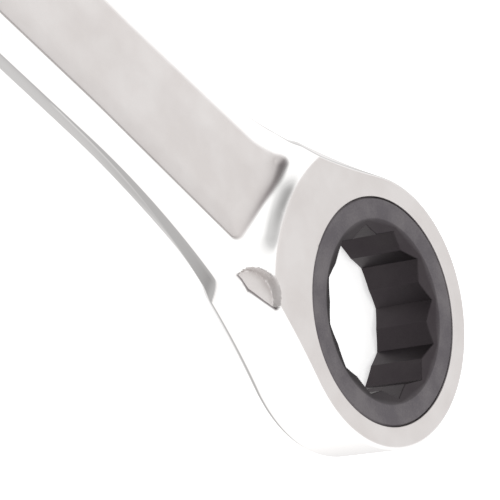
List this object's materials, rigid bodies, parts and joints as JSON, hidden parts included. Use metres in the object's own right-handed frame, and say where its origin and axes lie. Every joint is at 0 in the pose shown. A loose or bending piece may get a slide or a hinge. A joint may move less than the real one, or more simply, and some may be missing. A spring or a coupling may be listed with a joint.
{
  "type": "ratcheting combination wrench",
  "caption": "Flat combination wrench with a ratcheting twelve-point ring at one end and an angled open jaw at the other, joined by a bevelled shank.",
  "frame": {"origin": "centre of the ratcheting ring, at half its thickness", "axes": "+X along the shank towards the open end, +Z along the ring's axis out of its front face"},
  "size_m": [0.2749, 0.044, 0.011],
  "materials": {
    "chromed_steel": "bright chrome, satin on the panels and ring faces",
    "blackened_steel": "black oxide",
    "hardened_steel": "ground, oiled",
    "spring_steel": "drawn wire",
    "phosphated_steel": "phosphated"
  },
  "bodies": {
    "wrench": {"wrench_body": "chromed_steel", "retaining_ring": "phosphated_steel", "pawl_spring": "spring_steel"},
    "gear": {"ratchet_gear": "blackened_steel"},
    "pawl": {"pawl": "hardened_steel"}
  },
  "joints": [
    {"name": "gear_spin", "type": "hinge", "parent": "wrench", "child": "gear", "pos_m": [0, 0, 0], "axis": [0, 0, 1], "continuous": true},
    {"name": "pawl_slide", "type": "slide", "parent": "wrench", "child": "pawl", "axis": [0.8192, 0.5736, 0], "range_m": [0, 0.001], "stiffness_N_per_m": 450, "springref_m": -0.002, "deforming": ["pawl_spring"]}
  ]
}
